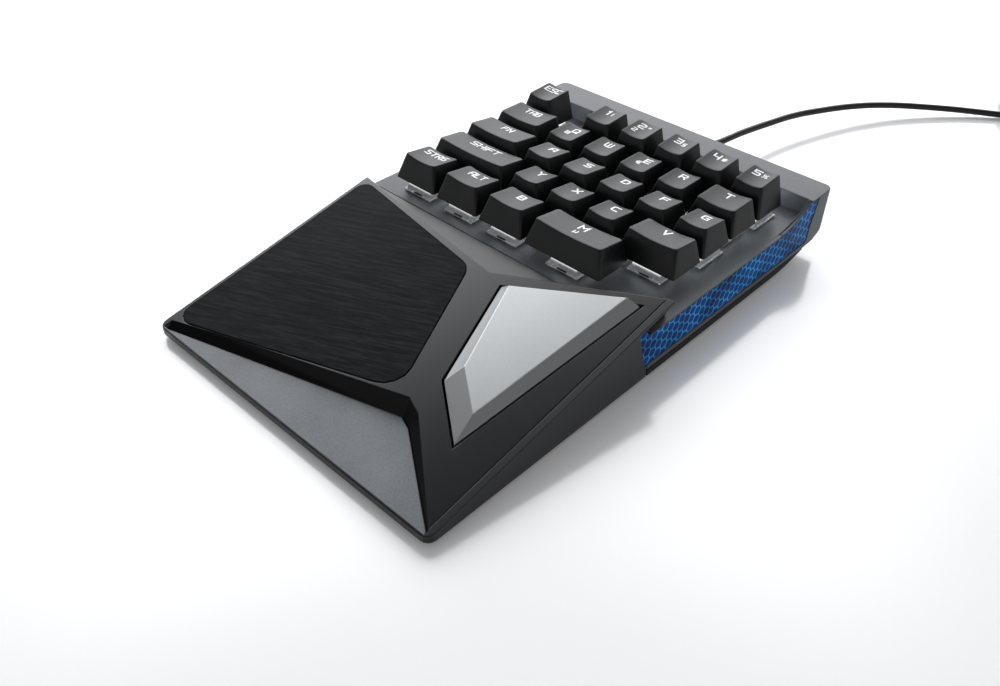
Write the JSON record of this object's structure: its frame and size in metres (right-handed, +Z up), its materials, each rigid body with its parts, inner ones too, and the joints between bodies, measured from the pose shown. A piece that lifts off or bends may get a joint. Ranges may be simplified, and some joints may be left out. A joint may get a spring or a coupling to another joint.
{
  "type": "one-handed gaming keypad",
  "caption": "Wired one-handed mechanical gaming keypad with sculpted keycaps, a wide thumb bar, a sloping palm rest with a brushed pad, and hexagon-mesh side lights.",
  "frame": {"origin": "on the desk, under the middle of the body without its lead", "axes": "+X to the user's right, +Y away from the user towards the lead, +Z up"},
  "size_m": [0.2627, 0.4705, 0.0402],
  "materials": {
    "keycap": "satin, double-shot characters",
    "switch": "translucent white",
    "frame": "satin gunmetal",
    "board": "solder mask",
    "case": "fine texture",
    "palm": "satin paint",
    "pad": "black, brushed across",
    "panel": "fine metallic paint",
    "bar": "satin silver paint",
    "window": "blue with a hexagon mesh, lit from behind",
    "lamp": "clear resin",
    "foot": "matt",
    "screw": "plain",
    "cord": "smooth sheath",
    "shell": "nickel plated"
  },
  "bodies": {
    "keypad_body": {"switch_row_1": "switch", "switch_row_2": "switch", "switch_row_3": "switch", "switch_row_4": "switch", "switch_row_5": "switch", "top_frame": "frame", "circuit_board": "board", "lamp_bar_left": "lamp", "lamp_bar_right": "lamp", "bottom_case": "case", "palm_housing": "palm", "palm_pad": "pad", "front_panel": "panel", "thumb_switch": "switch", "thumb_board": "board", "light_window_left": "window", "light_window_right": "window", "foot_front_left": "foot", "foot_front_right": "foot", "foot_back_left": "foot", "foot_back_right": "foot", "screw_left_front": "screw", "screw_right_front": "screw", "screw_left_back": "screw", "screw_right_back": "screw", "strain_relief": "cord", "cable": "cord", "cable_coil": "cord", "plug_body": "cord", "plug_shell": "shell"},
    "keycap_esc": {"key_esc": "keycap"},
    "keycap_1": {"key_1": "keycap"},
    "keycap_2": {"key_2": "keycap"},
    "keycap_3": {"key_3": "keycap"},
    "keycap_4": {"key_4": "keycap"},
    "keycap_5": {"key_5": "keycap"},
    "keycap_tab": {"key_tab": "keycap"},
    "keycap_q": {"key_q": "keycap"},
    "keycap_w": {"key_w": "keycap"},
    "keycap_e": {"key_e": "keycap"},
    "keycap_r": {"key_r": "keycap"},
    "keycap_t": {"key_t": "keycap"},
    "keycap_fn": {"key_fn": "keycap"},
    "keycap_a": {"key_a": "keycap"},
    "keycap_s": {"key_s": "keycap"},
    "keycap_d": {"key_d": "keycap"},
    "keycap_f": {"key_f": "keycap"},
    "keycap_g": {"key_g": "keycap"},
    "keycap_shift": {"key_shift": "keycap"},
    "keycap_y": {"key_y": "keycap"},
    "keycap_x": {"key_x": "keycap"},
    "keycap_c": {"key_c": "keycap"},
    "keycap_v": {"key_v": "keycap"},
    "keycap_ctrl": {"key_ctrl": "keycap"},
    "keycap_alt": {"key_alt": "keycap"},
    "keycap_b": {"key_b": "keycap"},
    "keycap_m": {"key_m": "keycap"},
    "thumb_key": {"thumb_bar": "bar"}
  },
  "joints": [
    {"name": "press_esc", "type": "slide", "parent": "keypad_body", "child": "keycap_esc", "axis": [0, 0, -1], "range_m": [0, 0.004], "stiffness_N_per_m": 100, "springref_m": -0.003},
    {"name": "press_1", "type": "slide", "parent": "keypad_body", "child": "keycap_1", "axis": [0, 0, -1], "range_m": [0, 0.004], "stiffness_N_per_m": 100, "springref_m": -0.003},
    {"name": "press_2", "type": "slide", "parent": "keypad_body", "child": "keycap_2", "axis": [0, 0, -1], "range_m": [0, 0.004], "stiffness_N_per_m": 100, "springref_m": -0.003},
    {"name": "press_3", "type": "slide", "parent": "keypad_body", "child": "keycap_3", "axis": [0, 0, -1], "range_m": [0, 0.004], "stiffness_N_per_m": 100, "springref_m": -0.003},
    {"name": "press_4", "type": "slide", "parent": "keypad_body", "child": "keycap_4", "axis": [0, 0, -1], "range_m": [0, 0.004], "stiffness_N_per_m": 100, "springref_m": -0.003},
    {"name": "press_5", "type": "slide", "parent": "keypad_body", "child": "keycap_5", "axis": [0, 0, -1], "range_m": [0, 0.004], "stiffness_N_per_m": 100, "springref_m": -0.003},
    {"name": "press_tab", "type": "slide", "parent": "keypad_body", "child": "keycap_tab", "axis": [0, 0, -1], "range_m": [0, 0.004], "stiffness_N_per_m": 100, "springref_m": -0.003},
    {"name": "press_q", "type": "slide", "parent": "keypad_body", "child": "keycap_q", "axis": [0, 0, -1], "range_m": [0, 0.004], "stiffness_N_per_m": 100, "springref_m": -0.003},
    {"name": "press_w", "type": "slide", "parent": "keypad_body", "child": "keycap_w", "axis": [0, 0, -1], "range_m": [0, 0.004], "stiffness_N_per_m": 100, "springref_m": -0.003},
    {"name": "press_e", "type": "slide", "parent": "keypad_body", "child": "keycap_e", "axis": [0, 0, -1], "range_m": [0, 0.004], "stiffness_N_per_m": 100, "springref_m": -0.003},
    {"name": "press_r", "type": "slide", "parent": "keypad_body", "child": "keycap_r", "axis": [0, 0, -1], "range_m": [0, 0.004], "stiffness_N_per_m": 100, "springref_m": -0.003},
    {"name": "press_t", "type": "slide", "parent": "keypad_body", "child": "keycap_t", "axis": [0, 0, -1], "range_m": [0, 0.004], "stiffness_N_per_m": 100, "springref_m": -0.003},
    {"name": "press_fn", "type": "slide", "parent": "keypad_body", "child": "keycap_fn", "axis": [0, 0, -1], "range_m": [0, 0.004], "stiffness_N_per_m": 100, "springref_m": -0.003},
    {"name": "press_a", "type": "slide", "parent": "keypad_body", "child": "keycap_a", "axis": [0, 0, -1], "range_m": [0, 0.004], "stiffness_N_per_m": 100, "springref_m": -0.003},
    {"name": "press_s", "type": "slide", "parent": "keypad_body", "child": "keycap_s", "axis": [0, 0, -1], "range_m": [0, 0.004], "stiffness_N_per_m": 100, "springref_m": -0.003},
    {"name": "press_d", "type": "slide", "parent": "keypad_body", "child": "keycap_d", "axis": [0, 0, -1], "range_m": [0, 0.004], "stiffness_N_per_m": 100, "springref_m": -0.003},
    {"name": "press_f", "type": "slide", "parent": "keypad_body", "child": "keycap_f", "axis": [0, 0, -1], "range_m": [0, 0.004], "stiffness_N_per_m": 100, "springref_m": -0.003},
    {"name": "press_g", "type": "slide", "parent": "keypad_body", "child": "keycap_g", "axis": [0, 0, -1], "range_m": [0, 0.004], "stiffness_N_per_m": 100, "springref_m": -0.003},
    {"name": "press_shift", "type": "slide", "parent": "keypad_body", "child": "keycap_shift", "axis": [0, 0, -1], "range_m": [0, 0.004], "stiffness_N_per_m": 100, "springref_m": -0.003},
    {"name": "press_y", "type": "slide", "parent": "keypad_body", "child": "keycap_y", "axis": [0, 0, -1], "range_m": [0, 0.004], "stiffness_N_per_m": 100, "springref_m": -0.003},
    {"name": "press_x", "type": "slide", "parent": "keypad_body", "child": "keycap_x", "axis": [0, 0, -1], "range_m": [0, 0.004], "stiffness_N_per_m": 100, "springref_m": -0.003},
    {"name": "press_c", "type": "slide", "parent": "keypad_body", "child": "keycap_c", "axis": [0, 0, -1], "range_m": [0, 0.004], "stiffness_N_per_m": 100, "springref_m": -0.003},
    {"name": "press_v", "type": "slide", "parent": "keypad_body", "child": "keycap_v", "axis": [0, 0, -1], "range_m": [0, 0.004], "stiffness_N_per_m": 100, "springref_m": -0.003},
    {"name": "press_ctrl", "type": "slide", "parent": "keypad_body", "child": "keycap_ctrl", "axis": [0, 0, -1], "range_m": [0, 0.004], "stiffness_N_per_m": 100, "springref_m": -0.003},
    {"name": "press_alt", "type": "slide", "parent": "keypad_body", "child": "keycap_alt", "axis": [0, 0, -1], "range_m": [0, 0.004], "stiffness_N_per_m": 100, "springref_m": -0.003},
    {"name": "press_b", "type": "slide", "parent": "keypad_body", "child": "keycap_b", "axis": [0, 0, -1], "range_m": [0, 0.004], "stiffness_N_per_m": 100, "springref_m": -0.003},
    {"name": "press_m", "type": "slide", "parent": "keypad_body", "child": "keycap_m", "axis": [0, 0, -1], "range_m": [0, 0.004], "stiffness_N_per_m": 100, "springref_m": -0.003},
    {"name": "press_thumb_bar", "type": "slide", "parent": "keypad_body", "child": "thumb_key", "axis": [0, 0.1992, -0.98], "range_m": [0, 0.003], "stiffness_N_per_m": 150, "springref_m": -0.003}
  ]
}
